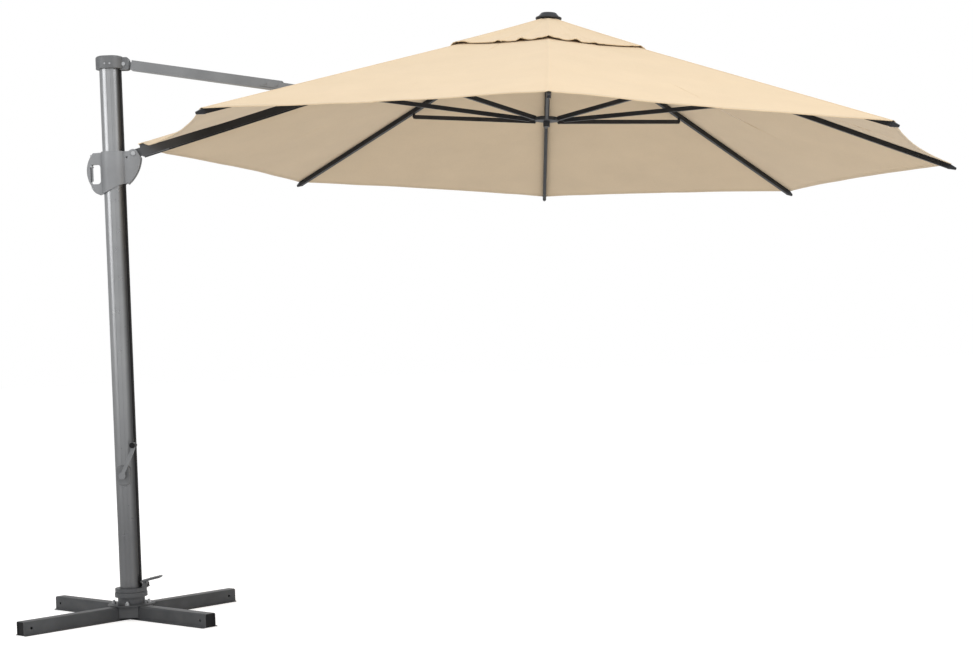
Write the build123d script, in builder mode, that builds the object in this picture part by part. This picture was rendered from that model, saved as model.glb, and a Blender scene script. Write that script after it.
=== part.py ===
from build123d import *
from math import atan2, cos, degrees, hypot, radians, sin, tan
import os

# Lengths are in millimetres. The mast stands on the Z axis and the canopy hangs out along +X.

# cross base
beam_reach = 544
beam_turn = 49
beam_width = 52
beam_height = 58
beam_sheet = 2.5
beam_flange = 13
beam_bend = 6
flange_corner = 9
end_recess = 3
beam_hole_radius = 5.5
beam_hole_inset = 36
plate_radius = 100
plate_sheet = 5
anchor_circle = 76

# mast and its turning foot
neck_radius = 57
neck_top = 92
spigot_slack = 3
spigot_top = 240
foot_gap = 1.5
foot_overhang = 23
foot_step = 20
foot_groove = 2.5
foot_top = 131
mast_bottom = 118
mast_top = 2400
mast_width = 92
mast_depth = 70
mast_sheet = 3
strip_sheet = 2
strip_half = 17
strip_clearance = 1
running_gap = 0.05

# slider, its D-shaped handle and the pivot of the arm
slider_drop = 399
slider_wall = 6
arm_pivot_offset = 43
fin_gap = 13
fin_sheet = 10
handle_depth = 26

# strut and arm, in the plane of the mast
strut_pivot_offset = 16
strut_pivot_drop = 15
strut_depth = 41
arm_dip = 0.379
arm_width = 40
arm_sheet = 2.5
arm_top = 29.6
arm_root_drop = 26
arm_taper = 0.0165
joint_reach = 875.2
joint_lift = 9

# canopy
canopy_radius = 1750
canopy_rise = 578
canopy_droop = 3
rim_gap = 24.39
rim_fall = 72
fabric_sheet = 1.2
vent_hole_radius = 430
vent_cap_radius = 560
vent_cap_height = 587
vent_cap_flare = 0.0203
arm_cover_side = 12.5

# ribs, braces, hub and runner
rib_drop = 14
rib_depth = 20
rib_width = 16
hub_radius = 66
hub_pivot_radius = 55
hub_pin_radius = 3
brace_radius = 880
brace_drop = 24
brace_width = 12
runner_pivot_radius = 74
runner_height = 160
runner_radius = 52

# crank
crank_height = 620
crank_length = 143
crank_angle = 66

# sizes that follow from the ones above
spigot_radius = mast_depth / 2 - mast_sheet - spigot_slack
foot_radius = mast_width / 2 + foot_overhang
pedal_pivot_x = foot_radius - 5
pedal_pivot_height = foot_top + 14
slider_height = mast_top - slider_drop
arm_pivot_x = mast_width / 2 + arm_pivot_offset
strut_pivot_x = mast_width / 2 + strut_pivot_offset
strut_pivot_height = mast_top - strut_pivot_drop
rib_rise = canopy_rise / canopy_radius
rib_slope = degrees(atan2(canopy_rise, canopy_radius))
arm_angle = rib_slope - canopy_droop - arm_dip
vent_cap_slope = rib_rise - vent_cap_flare
canopy_axis_x = arm_pivot_x + rim_gap + canopy_radius * cos(radians(canopy_droop))
rim_height = slider_height - rim_fall
panel_turn = 22.5

canopy = Plane(
    origin=(canopy_axis_x, 0, rim_height),
    x_dir=(cos(radians(canopy_droop)), 0, -sin(radians(canopy_droop))),
    z_dir=(sin(radians(canopy_droop)), 0, cos(radians(canopy_droop))),
)


def side_plane(origin_x, height, angle):
    """Upright plane along the arm: its x runs out at the angle, its y runs up."""
    return Plane(
        origin=(origin_x, 0, height),
        x_dir=(cos(radians(angle)), 0, sin(radians(angle))),
        z_dir=(0, -1, 0),
    )


def tilted(plane, x, y, angle):
    """The same plane moved to a point on it and turned within it."""
    along = plane.x_dir * cos(radians(angle)) + plane.y_dir * sin(radians(angle))
    return Plane(origin=plane.from_local_coords((x, y)), x_dir=along, z_dir=plane.z_dir)


def spoke(turn):
    """Plane through the canopy's axis: its x runs outward, its y runs up the axis."""
    turned = tilted(canopy, 0, 0, turn)
    return Plane(origin=turned.origin, x_dir=turned.x_dir, z_dir=-turned.y_dir)


def block(x_low, x_high, y_low, y_high, mode=Mode.ADD):
    """A rectangle on the current sketch between two corners."""
    with Locations(((x_low + x_high) / 2, (y_low + y_high) / 2)):
        Rectangle(x_high - x_low, y_high - y_low, mode=mode)


def disc(x, y, radius, mode=Mode.ADD):
    with Locations((x, y)):
        Circle(radius, mode=mode)


def save(piece, name):
    piece.part.label = name
    export_step(piece.part, f"parts/{name}.step")


# places shared by several pieces
slide = side_plane(0, slider_height, 0)
arm_plane = side_plane(arm_pivot_x, slider_height, arm_angle)
joint_point = arm_plane.from_local_coords((joint_reach, joint_lift))
strut_run = joint_point.X - strut_pivot_x
strut_fall = strut_pivot_height - joint_point.Z
strut_length = hypot(strut_run, strut_fall)
strut_angle = -degrees(atan2(strut_fall, strut_run))
strut_plane = side_plane(strut_pivot_x, strut_pivot_height, strut_angle)

hub_pivot_height = rib_rise * (canopy_radius - hub_pivot_radius) - rib_drop
brace_foot = (brace_radius - hub_pivot_radius) / cos(radians(rib_slope))
hub_bottom = hub_pivot_height - 16
hub_top = hub_pivot_height + 16

# where a brace meets its rib, seen in the rib's own spoke
lug_radius_place = brace_radius - brace_drop * sin(radians(rib_slope))
lug_height_place = (
    rib_rise * (canopy_radius - brace_radius) - rib_drop - brace_drop * cos(radians(rib_slope))
)
brace_run = lug_radius_place - runner_pivot_radius
brace_climb = lug_height_place - runner_height
brace_length = hypot(brace_run, brace_climb)
brace_angle = degrees(atan2(brace_climb, brace_run))

# the arm takes the place of the eighth rib
arm_spoke = spoke(180)
hub_eye = arm_plane.to_local_coords(arm_spoke.from_local_coords((hub_pivot_radius, hub_pivot_height)))
arm_lug = arm_plane.to_local_coords(arm_spoke.from_local_coords((lug_radius_place, lug_height_place)))
arm_start = 36
arm_end = hub_eye.X - 34


def arm_bottom(along):
    return arm_taper * along - arm_root_drop


def beam_profile():
    """Hat section on the current sketch: folded sheet whose two feet curve outward."""
    wall = (beam_width - beam_sheet) / 2
    foot = beam_width / 2 + beam_flange
    low = beam_sheet / 2
    high = beam_height - beam_sheet / 2
    with BuildLine() as middle:
        FilletPolyline(
            (-foot, low), (-wall, low), (-wall, high), (wall, high), (wall, low), (foot, low), radius=beam_bend
        )
    trace(middle.edges(), line_width=beam_sheet)


def base_beam(name, turn, start, length):
    heading = Plane.XY.rotated((0, 0, turn))
    end_face = Plane(
        origin=heading.from_local_coords((start, 0)),
        x_dir=-heading.y_dir,
        z_dir=-heading.x_dir,
    )
    with BuildPart() as beam:
        with BuildSketch(end_face):
            beam_profile()
        extrude(amount=-length)
        upright = beam.edges().filter_by(Axis.Z)
        fillet(upright.filter_by(lambda edge: edge.length < 2 * beam_sheet), flange_corner)
        hole_height = beam_height / 2
        ends = [start + length - beam_hole_inset]
        if start < 0:
            ends.append(start + beam_hole_inset)
        wall_face = Plane(origin=(0, 0, 0), x_dir=heading.x_dir, z_dir=-heading.y_dir)
        with BuildSketch(wall_face):
            for end in ends:
                disc(end, hole_height, beam_hole_radius)
        extrude(amount=beam_width, both=True, mode=Mode.SUBTRACT)
    save(beam, name)


def base_beams():
    short_start = beam_width / 2 + beam_flange + 0.5
    base_beam("base_beam_long", beam_turn, -beam_reach, 2 * beam_reach)
    base_beam("base_beam_left", beam_turn + 90, short_start, beam_reach - short_start)
    base_beam("base_beam_right", beam_turn - 90, short_start, beam_reach - short_start)


def beam_ends():
    """A dark plug in each open end of the cross, set back a little."""
    inner_width = beam_width - 2 * beam_sheet - 0.4
    inner_height = beam_height - beam_sheet - 0.4
    with BuildPart() as ends:
        for turn in range(4):
            heading = Plane.XY.rotated((0, 0, beam_turn + 90 * turn))
            face = Plane(
                origin=heading.from_local_coords((beam_reach - end_recess, 0)),
                x_dir=heading.y_dir,
                z_dir=heading.x_dir,
            )
            with BuildSketch(face) as outline:
                block(-inner_width / 2, inner_width / 2, 0.2, inner_height)
                fillet(outline.vertices().group_by(Axis.Y)[-1], beam_bend)
            extrude(amount=-14)
    save(ends, "base_beam_ends")


def base_plate():
    with BuildPart() as plate:
        with BuildSketch(Plane.XY.offset(beam_height)):
            Circle(plate_radius)
            with PolarLocations(anchor_circle, 4):
                Circle(5.5, mode=Mode.SUBTRACT)
            Circle(spigot_radius - 9, mode=Mode.SUBTRACT)
        extrude(amount=plate_sheet)
    save(plate, "base_plate")


def base_gussets():
    """Four upright webs that fill the corners between the beams, under the plate."""
    with BuildPart() as gussets:
        inner = beam_width / 2 + beam_flange + 3
        gusset_bottom = beam_sheet + beam_bend + 0.3
        for turn in range(4):
            corner = Plane.XY.offset(gusset_bottom).rotated((0, 0, beam_turn + 90 * turn))
            with BuildSketch(corner):
                with BuildLine():
                    Polyline(
                        (beam_width / 2 + 0.3, beam_width / 2 + 0.3),
                        (inner + 45, beam_width / 2 + 0.3),
                        (inner + 45, beam_width / 2 + 4),
                        (beam_width / 2 + 4, inner + 45),
                        (beam_width / 2 + 0.3, inner + 45),
                        close=True,
                    )
                make_face()
                with Locations((beam_width / 2 + 16, beam_width / 2 + 16)):
                    Circle(8, mode=Mode.SUBTRACT)
            extrude(amount=beam_height - gusset_bottom - 0.3)
        with BuildSketch(Plane.XY):
            with PolarLocations(anchor_circle, 4):
                Circle(5.5)
        extrude(amount=beam_height, mode=Mode.SUBTRACT)
    save(gussets, "base_gussets")


def anchor_bolts():
    plate_top = beam_height + plate_sheet
    with BuildPart() as bolts:
        with BuildSketch(Plane.XY.offset(plate_top - 24)):
            with PolarLocations(anchor_circle, 4):
                Circle(5)
        extrude(amount=40)
        with BuildSketch(Plane.XY.offset(plate_top)):
            with PolarLocations(anchor_circle, 4):
                Circle(10)
        extrude(amount=2)
        with BuildSketch(Plane.XY.offset(plate_top + 2)):
            with PolarLocations(anchor_circle, 4):
                RegularPolygon(9, 6)
        extrude(amount=8)
    save(bolts, "anchor_bolts")


def swivel_post():
    plate_top = beam_height + plate_sheet
    with BuildPart() as post:
        with BuildSketch(Plane.XY.offset(plate_top)):
            Circle(neck_radius)
        extrude(amount=neck_top - plate_top)
        with BuildSketch(Plane.XY.offset(neck_top)):
            Circle(spigot_radius)
        extrude(amount=spigot_top - neck_top)
        with BuildSketch(Plane.XY.offset(plate_top)):
            Circle(spigot_radius - 4)
        extrude(amount=spigot_top - plate_top, mode=Mode.SUBTRACT)
    save(post, "swivel_post")


def mast_foot():
    bottom = neck_top + foot_gap
    with BuildPart() as foot:
        with BuildSketch(Plane.XY.offset(bottom)):
            Circle(foot_radius)
        extrude(amount=foot_step)
        chamfer(foot.faces().sort_by(Axis.Z)[-1].edges(), 2)
        with BuildSketch(Plane.XY.offset(bottom + foot_step)):
            Circle(foot_radius - 6)
        extrude(amount=foot_groove)
        with BuildSketch(Plane.XY.offset(bottom + foot_step + foot_groove)):
            Circle(foot_radius - 2)
        extrude(amount=foot_top - bottom - foot_step - foot_groove)
        with BuildSketch(Plane.XY.offset(bottom)):
            Circle(spigot_radius + running_gap)
        extrude(amount=foot_top - bottom, mode=Mode.SUBTRACT)
        with BuildSketch(Plane.XY.offset(mast_bottom)):
            SlotOverall(mast_width + 0.4, mast_depth + 0.4)
        extrude(amount=foot_top - mast_bottom, mode=Mode.SUBTRACT)
    save(foot, "mast_foot")


def mast_tube():
    with BuildPart() as mast:
        with BuildSketch(Plane.XY.offset(mast_bottom)):
            SlotOverall(mast_width, mast_depth)
            for side in (-1, 1):
                with Locations((-9, side * mast_depth / 2), (9, side * mast_depth / 2)):
                    Rectangle(3, 2, mode=Mode.SUBTRACT)
            with Locations((mast_depth / 2 - mast_width / 2, 0)):
                with PolarLocations(mast_depth / 2, 5, start_angle=120, angular_range=120):
                    Circle(1.5, mode=Mode.SUBTRACT)
            SlotOverall(mast_width - 2 * mast_sheet, mast_depth - 2 * mast_sheet, mode=Mode.SUBTRACT)
        extrude(amount=mast_top - mast_bottom)
        with BuildSketch(Plane.XZ.offset(mast_depth / 2 - 8)):
            disc(0, crank_height, 8.05)
        extrude(amount=16, mode=Mode.SUBTRACT)
    save(mast, "mast_tube")


def guide_path(clearance):
    """Outline of the guide strip around the mast's canopy side, with room left round it."""
    reach = strip_sheet + clearance
    with BuildSketch(mode=Mode.PRIVATE) as path:
        SlotOverall(mast_width + 2 * reach, mast_depth + 2 * reach)
        half = strip_half + clearance
        block(mast_depth / 4, mast_width, -half, half, mode=Mode.INTERSECT)
    return path.sketch


def mast_strip():
    """Dark guide strip down the side of the mast that faces the canopy."""
    with BuildPart() as strip:
        with BuildSketch(Plane.XY.offset(foot_top + 4)):
            add(guide_path(0))
            SlotOverall(mast_width + 0.1, mast_depth + 0.1, mode=Mode.SUBTRACT)
        extrude(amount=mast_top - foot_top - 44)
    save(strip, "mast_strip")


def top_cap():
    ear_plane = side_plane(strut_pivot_x, strut_pivot_height, 0)
    with BuildPart() as cap:
        with BuildSketch(Plane.XY.offset(mast_top - 34)):
            SlotOverall(120, 98)
        extrude(amount=54)
        fillet(cap.faces().sort_by(Axis.Z)[-1].edges(), 10)
        with BuildSketch(ear_plane):
            with Locations((-2, 2)):
                RectangleRounded(50, 54, 12)
        extrude(amount=17, both=True)
        with BuildSketch(Plane.XY.offset(mast_top - 60)):
            SlotOverall(mast_width + 0.4, mast_depth + 0.4)
            add(guide_path(strip_clearance))
        extrude(amount=60.5, mode=Mode.SUBTRACT)
        with BuildSketch(ear_plane):
            block(-14, 40, -30, 15)
        extrude(amount=7.6, both=True, mode=Mode.SUBTRACT)
        with BuildSketch(ear_plane):
            Circle(5 + running_gap)
        extrude(amount=20, both=True, mode=Mode.SUBTRACT)
        for side in (-1, 1):
            with BuildSketch(ear_plane.offset(side * 17)):
                Circle(9)
            extrude(amount=side * 12, mode=Mode.SUBTRACT)
    save(cap, "top_cap")


def headed_pin(plane, radius, half_length, head_radius, head_height):
    """A pin across the plane, with a low head at each end."""
    with BuildPart(mode=Mode.PRIVATE) as pin:
        with BuildSketch(plane):
            Circle(radius)
        extrude(amount=half_length, both=True)
        for side in (-1, 1):
            with BuildSketch(plane.offset(side * half_length)):
                Circle(head_radius)
            extrude(amount=side * head_height)
    return pin.part


def cap_fixings():
    """The strut's pivot pin and the four grub screws that hold the cap on the mast."""
    with BuildPart() as fixings:
        add(headed_pin(side_plane(strut_pivot_x, strut_pivot_height, 0), 5, 17.2, 8, 3))
        for side in (-1, 1):
            with BuildSketch(side_plane(0, mast_top - 16, 0).offset(side * 49.1)):
                disc(-11, 0, 4)
                disc(11, 0, 4)
            extrude(amount=side * 2)
    save(fixings, "cap_fixings")


def arm_pin():
    with BuildPart() as pin:
        pivot = side_plane(arm_pivot_x, slider_height, 0)
        add(headed_pin(pivot, 5, fin_gap / 2 + fin_sheet + 0.2, 9, 4))
    save(pin, "arm_pin")


def strut_tube():
    half = strut_depth / 2
    with BuildPart() as strut:
        with BuildSketch(strut_plane):
            block(34, strut_length - 198, -half, half)
        extrude(amount=arm_width / 2 + 0.6, both=True)
        with BuildSketch(strut_plane):
            block(34, strut_length - 198, 2 - half, half - 2)
        extrude(amount=arm_width / 2 - 1.4, both=True, mode=Mode.SUBTRACT)
    save(strut, "strut_tube")


def strut_eye():
    half = strut_depth / 2 - 2.1
    with BuildPart() as eye:
        with BuildSketch(strut_plane):
            Circle(13)
            block(0, 60, -13, 13)
        extrude(amount=7, both=True)
        with BuildSketch(strut_plane):
            block(36, 76, -half, half)
        extrude(amount=arm_width / 2 - 1.6, both=True)
        with BuildSketch(strut_plane):
            Circle(5 + running_gap)
        extrude(amount=20, both=True, mode=Mode.SUBTRACT)
    save(eye, "strut_eye")


def strut_fork():
    """Two cheek plates that carry the strut past the sides of the arm."""
    inner = arm_width / 2 + 0.6
    with BuildPart() as fork:
        for side in (-1, 1):
            with BuildSketch(strut_plane.offset(side * inner)):
                block(strut_length - 290, strut_length, -13, 13)
                disc(strut_length, 0, 13)
            extrude(amount=side * 4)
            with BuildSketch(strut_plane.offset(side * (inner + 4))):
                disc(strut_length, 0, 8)
                disc(strut_length - 270, 0, 6)
                disc(strut_length - 220, 0, 6)
            extrude(amount=side * 4)
    save(fork, "strut_fork")


def arm_channel():
    with BuildPart() as arm:
        with BuildSketch(arm_plane):
            with BuildLine():
                Polyline(
                    (arm_start, arm_top),
                    (arm_end, arm_top),
                    (arm_end, arm_bottom(arm_end)),
                    (arm_start, arm_bottom(arm_start)),
                    close=True,
                )
            make_face()
        extrude(amount=arm_width / 2, both=True)
        with BuildSketch(arm_plane):
            block(arm_start - 1, arm_end + 1, -2 * arm_root_drop, arm_top - arm_sheet)
        extrude(amount=arm_width / 2 - arm_sheet, both=True, mode=Mode.SUBTRACT)
        with BuildSketch(arm_plane):
            disc(joint_reach, joint_lift, 8.1)
        extrude(amount=arm_width, both=True, mode=Mode.SUBTRACT)
    save(arm, "arm_channel")


def arm_root():
    """Pivot block in the arm's near end, with the tongue that the slider holds."""
    half_width = arm_width / 2 - arm_sheet - 0.1
    ceiling = arm_top - arm_sheet - 0.1
    with BuildPart() as root:
        with BuildSketch(arm_plane):
            block(arm_start, 150, arm_bottom(arm_start) + 4, ceiling)
        extrude(amount=half_width, both=True)
        with BuildSketch(arm_plane):
            Circle(18)
            block(0, arm_start, -17, 18)
        extrude(amount=fin_gap / 2 - 0.5, both=True)
        with BuildSketch(arm_plane):
            Circle(5 + running_gap)
        extrude(amount=20, both=True, mode=Mode.SUBTRACT)
    save(root, "arm_root")


def arm_head():
    """Block in the arm's far end, with the tongue that carries the canopy's hub."""
    half_width = arm_width / 2 - arm_sheet - 0.1
    ceiling = arm_top - arm_sheet - 0.1
    floor = arm_bottom(arm_end) + 0.5
    with BuildPart() as head:
        with BuildSketch(arm_plane):
            block(arm_end - 80, arm_end, floor, ceiling)
        extrude(amount=half_width, both=True)
        with BuildSketch(arm_plane):
            disc(hub_eye.X, hub_eye.Y, 10)
            block(arm_end - 4, hub_eye.X, hub_eye.Y - 8, hub_eye.Y + 8)
        extrude(amount=7.4, both=True)
        with BuildSketch(arm_plane):
            disc(hub_eye.X, hub_eye.Y, hub_pin_radius + 2 * running_gap)
        extrude(amount=20, both=True, mode=Mode.SUBTRACT)
    save(head, "arm_head")


def arm_bracket():
    """Bracket inside the arm, with the lug of the arm's own brace below it."""
    half_width = arm_width / 2 - arm_sheet - 0.1
    with BuildPart() as bracket:
        with BuildSketch(arm_plane):
            block(arm_lug.X - 20, arm_lug.X + 20, arm_lug.Y + 15, arm_top - arm_sheet - 0.1)
        extrude(amount=half_width, both=True)
        with BuildSketch(arm_plane):
            disc(arm_lug.X, arm_lug.Y, 6)
            block(arm_lug.X - 6, arm_lug.X + 6, arm_lug.Y, arm_lug.Y + 16)
        extrude(amount=2.5, both=True)
        with BuildSketch(arm_plane):
            disc(arm_lug.X, arm_lug.Y, 2.58)
        extrude(amount=20, both=True, mode=Mode.SUBTRACT)
    save(bracket, "arm_bracket")


def arm_bush():
    with BuildPart() as bush:
        with BuildSketch(arm_plane):
            disc(joint_reach, joint_lift, 8)
        extrude(amount=arm_width / 2 - 0.1, both=True)
    save(bush, "arm_bush")


def slider_shell(name, side):
    """One half of the slider: half collar, one fin plate and half of the handle."""
    outer_width = mast_width + 2 * slider_wall + 1.4
    outer_depth = mast_depth + 2 * slider_wall + 1.4
    with BuildPart() as shell:
        with BuildSketch(Plane.XY.offset(slider_height - 168)):
            SlotOverall(outer_width, outer_depth)
        extrude(amount=179)
        with BuildSketch(slide):
            with BuildLine():
                Line((40, 11), (66, 11))
                Line((66, 11), (76, 16))
                ThreePointArc((76, 16), (92, 19), (106, 8))
                Line((106, 8), (119, -18))
                ThreePointArc((119, -18), (92, -95), (37, -147))
                Line((37, -147), (40, 11))
            make_face()
        extrude(amount=fin_gap / 2 + fin_sheet, both=True)
        with BuildSketch(slide):
            with BuildLine():
                Line((-44, 9), (-86, 7))
                ThreePointArc((-86, 7), (-113, -52), (-98, -132))
                ThreePointArc((-98, -132), (-84, -160), (-64, -172))
                Line((-64, -172), (-44, -165))
                Line((-44, -165), (-44, 9))
            make_face()
            with Locations((-77.5, -83.5)):
                RectangleRounded(43, 85, 14, mode=Mode.SUBTRACT)
        extrude(amount=handle_depth / 2, both=True)
        with BuildSketch(slide):
            block(-104, -88, -116, -42)
        extrude(amount=7, both=True, mode=Mode.SUBTRACT)
        with BuildSketch(slide):
            with BuildLine():
                Polyline((-45, -170), (60, -122), (60, -200), (-45, -200), close=True)
            make_face()
        extrude(amount=outer_depth, both=True, mode=Mode.SUBTRACT)
        with BuildSketch(Plane.XY.offset(slider_height - 210)):
            SlotOverall(mast_width + 1.4, mast_depth + 1.4)
            add(guide_path(strip_clearance))
        extrude(amount=240, mode=Mode.SUBTRACT)
        with BuildSketch(slide):
            block(mast_width / 2 + 5, 140, -160, 30)
        extrude(amount=fin_gap / 2, both=True, mode=Mode.SUBTRACT)
        with BuildSketch(slide):
            disc(arm_pivot_x, 0, 5 + running_gap)
            disc(60, -15, 4)
        extrude(amount=60, both=True, mode=Mode.SUBTRACT)
        with BuildSketch(slide.offset(side * (outer_depth / 2 - 1.5))):
            with BuildLine():
                Line((-34, -50), (-34, -110))
                ThreePointArc((-34, -110), (-10, -80), (-34, -50))
            make_face()
        extrude(amount=side * 10, mode=Mode.SUBTRACT)
        with BuildSketch(slide.offset(side * 0.1)):
            Rectangle(500, 600)
        extrude(amount=-side * 100, mode=Mode.SUBTRACT)
    save(shell, name)


def slider_bushes():
    """Two thin glide rings between the slider and the mast."""
    with BuildPart() as bushes:
        for height in (slider_height - 8, slider_height - 100):
            with BuildSketch(Plane.XY.offset(height)):
                SlotOverall(mast_width + 1.2, mast_depth + 1.2)
                SlotOverall(mast_width + 0.3, mast_depth + 0.3, mode=Mode.SUBTRACT)
                add(guide_path(strip_clearance), mode=Mode.SUBTRACT)
            extrude(amount=14)
    save(bushes, "slider_bushes")


def slider_fixings():
    """The screws that join the two shells, and the pin of the release lever."""
    places = ((-94, -4), (-92, -144))
    with BuildPart() as fixings:
        add(headed_pin(side_plane(-94.5, slider_height - 50, 0), 2, 13.2, 4, 1.5))
        for side in (-1, 1):
            with BuildSketch(slide.offset(side * (handle_depth / 2 + 0.05))):
                for x, y in places:
                    disc(x, y, 4)
            extrude(amount=side * 1.5)
    save(fixings, "slider_fixings")


def release_lever():
    """Squeeze lever on the finger side of the handle, hung from its top."""
    with BuildPart() as lever:
        with BuildSketch(slide):
            block(-98, -91, -112, -50)
            disc(-94.5, -50, 5)
        extrude(amount=6.4, both=True)
        fillet(lever.edges().filter_by(Axis.Z), 2)
        with BuildSketch(slide):
            disc(-94.5, -50, 2 + running_gap)
        extrude(amount=20, both=True, mode=Mode.SUBTRACT)
    save(lever, "release_lever")


def crank_housing():
    face = mast_depth / 2
    with BuildPart() as housing:
        with BuildSketch(Plane.XZ.offset(face + 0.3)):
            with Locations((0, crank_height)):
                RectangleRounded(58, 84, 16)
        extrude(amount=24)
        fillet(housing.faces().sort_by(Axis.Y)[0].edges(), 6)
        with BuildSketch(Plane.XZ.offset(face)):
            disc(0, crank_height, 8 + running_gap)
        extrude(amount=40, mode=Mode.SUBTRACT)
    save(housing, "crank_housing")


def crank_shaft():
    """Shaft from the crank into the mast, with the cord's reel on it."""
    with BuildPart() as shaft:
        with BuildSketch(Plane.XZ.offset(-22)):
            disc(0, crank_height, 20)
        extrude(amount=3)
        with BuildSketch(Plane.XZ.offset(-19)):
            disc(0, crank_height, 12)
        extrude(amount=38)
        with BuildSketch(Plane.XZ.offset(19)):
            disc(0, crank_height, 20)
        extrude(amount=3)
        with BuildSketch(Plane.XZ.offset(22)):
            disc(0, crank_height, 8)
        extrude(amount=50)
    save(shaft, "crank_shaft")


def crank_arm():
    start = mast_depth / 2 + 37.5
    crank_plane = Plane(origin=(0, -start, crank_height), x_dir=(1, 0, 0), z_dir=(0, -1, 0))
    with BuildPart() as crank:
        with BuildSketch(crank_plane):
            Circle(15)
            with PolarLocations(0, 1, start_angle=crank_angle):
                block(0, crank_length, -8, 8)
                disc(crank_length, 0, 11)
        extrude(amount=8)
        with BuildSketch(crank_plane):
            with PolarLocations(0, 1, start_angle=crank_angle):
                disc(crank_length, 0, 4 + running_gap)
        extrude(amount=8, mode=Mode.SUBTRACT)
    save(crank, "crank_arm")


def crank_knob():
    start = mast_depth / 2 + 37.5
    centre_x = crank_length * cos(radians(crank_angle))
    centre_z = crank_height + crank_length * sin(radians(crank_angle))
    knob_plane = Plane(origin=(centre_x, -start, centre_z), x_dir=(1, 0, 0), z_dir=(0, -1, 0))
    with BuildPart() as knob:
        with BuildSketch(knob_plane.offset(1)):
            Circle(4)
        extrude(amount=9)
        with BuildSketch(knob_plane.offset(9)):
            Circle(12)
        extrude(amount=42)
        fillet(knob.faces().sort_by(Axis.Y)[0].edges(), 4)
    save(knob, "crank_knob")


def pedal_bracket():
    """Two upright ears on the foot's canopy side, and the pedal's pin through them."""
    ear_plane = side_plane(0, 0, 0)
    with BuildPart() as bracket:
        for side in (-1, 1):
            with BuildSketch(ear_plane.offset(side * 20)):
                block(pedal_pivot_x - 10, pedal_pivot_x + 10, foot_top + 0.3, pedal_pivot_height)
                disc(pedal_pivot_x, pedal_pivot_height, 10)
            extrude(amount=side * 5)
        with BuildSketch(Plane.XY.offset(foot_top + 0.3)):
            block(pedal_pivot_x - 10, pedal_pivot_x + 12, -25, 25)
        extrude(amount=4)
        with BuildSketch(ear_plane):
            disc(pedal_pivot_x, pedal_pivot_height, 4 + running_gap)
        extrude(amount=40, both=True, mode=Mode.SUBTRACT)
        add(headed_pin(side_plane(pedal_pivot_x, pedal_pivot_height, 0), 4, 25.2, 7, 2))
    save(bracket, "pedal_bracket")


def foot_pedal():
    """Tread plate of the swivel lock, rising outward from its pin."""
    pivot = side_plane(pedal_pivot_x, pedal_pivot_height, 12)
    with BuildPart() as pedal:
        with BuildSketch(pivot):
            block(-12, 72, 11, 18)
        extrude(amount=30, both=True)
        with BuildSketch(pivot):
            disc(0, 0, 8)
            block(-8, 8, 0, 12)
        extrude(amount=18, both=True)
        with BuildSketch(pivot):
            Circle(4 + running_gap)
        extrude(amount=40, both=True, mode=Mode.SUBTRACT)
        with BuildSketch(pivot):
            for ridge in range(5):
                block(20 + 10 * ridge, 23 + 10 * ridge, 18, 19.5)
        extrude(amount=26, both=True)
    save(pedal, "foot_pedal")


def rib(name, turn):
    """Hollow rib with an eye at the hub, a lug for its brace and a tapered tip."""
    frame = tilted(spoke(turn), hub_pivot_radius, hub_pivot_height, -rib_slope)
    tube_end = (canopy_radius - hub_pivot_radius) / cos(radians(rib_slope)) - 14
    half = rib_depth / 2
    with BuildPart() as piece:
        with BuildSketch(frame):
            block(22, tube_end, -half, half)
        extrude(amount=rib_width / 2, both=True)
        with BuildSketch(frame):
            block(60, tube_end + 1, 1.5 - half, half - 1.5)
        extrude(amount=rib_width / 2 - 1.5, both=True, mode=Mode.SUBTRACT)
        with BuildSketch(frame):
            Circle(9)
            block(0, 24, -7, 7)
            disc(brace_foot, -brace_drop, 6)
            block(brace_foot - 6, brace_foot + 6, -brace_drop, -half)
            Circle(hub_pin_radius + 2 * running_gap, mode=Mode.SUBTRACT)
        extrude(amount=2.5, both=True)
        with BuildSketch(frame):
            Circle(9)
            block(0, 24, -7, 7)
        extrude(amount=6, both=True)
        with BuildSketch(frame):
            Circle(hub_pin_radius + 2 * running_gap)
            disc(brace_foot, -brace_drop, 2.58)
        extrude(amount=20, both=True, mode=Mode.SUBTRACT)
        tip_face = Plane(
            origin=frame.from_local_coords((tube_end, 0)),
            x_dir=frame.z_dir,
            z_dir=frame.x_dir,
        )
        with BuildSketch(tip_face):
            Rectangle(rib_width + 2, rib_depth + 2)
        with BuildSketch(tip_face.offset(34)):
            Rectangle(8, 9)
        loft()
    save(piece, name)


def brace(name, turn):
    """Open-topped channel from the runner to a rib, with a pin at the rib's end."""
    frame = tilted(spoke(turn), runner_pivot_radius, runner_height, brace_angle)
    half = brace_width / 2
    with BuildPart() as piece:
        with BuildSketch(frame):
            block(0, brace_length, -11, 7)
            Circle(7)
            disc(brace_length, 0, 7)
        extrude(amount=half, both=True)
        with BuildSketch(frame):
            block(-8, brace_length + 8, -8.5, 8)
            block(brace_length - 24, brace_length + 8, -12, 0)
        extrude(amount=3, both=True, mode=Mode.SUBTRACT)
        with BuildSketch(frame):
            disc(brace_length, 0, 2.5)
        extrude(amount=half, both=True)
        for side in (-1, 1):
            with BuildSketch(frame.offset(side * half)):
                Circle(4)
                disc(brace_length, 0, 4)
            extrude(amount=side * 1.5)
    save(piece, name)


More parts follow.
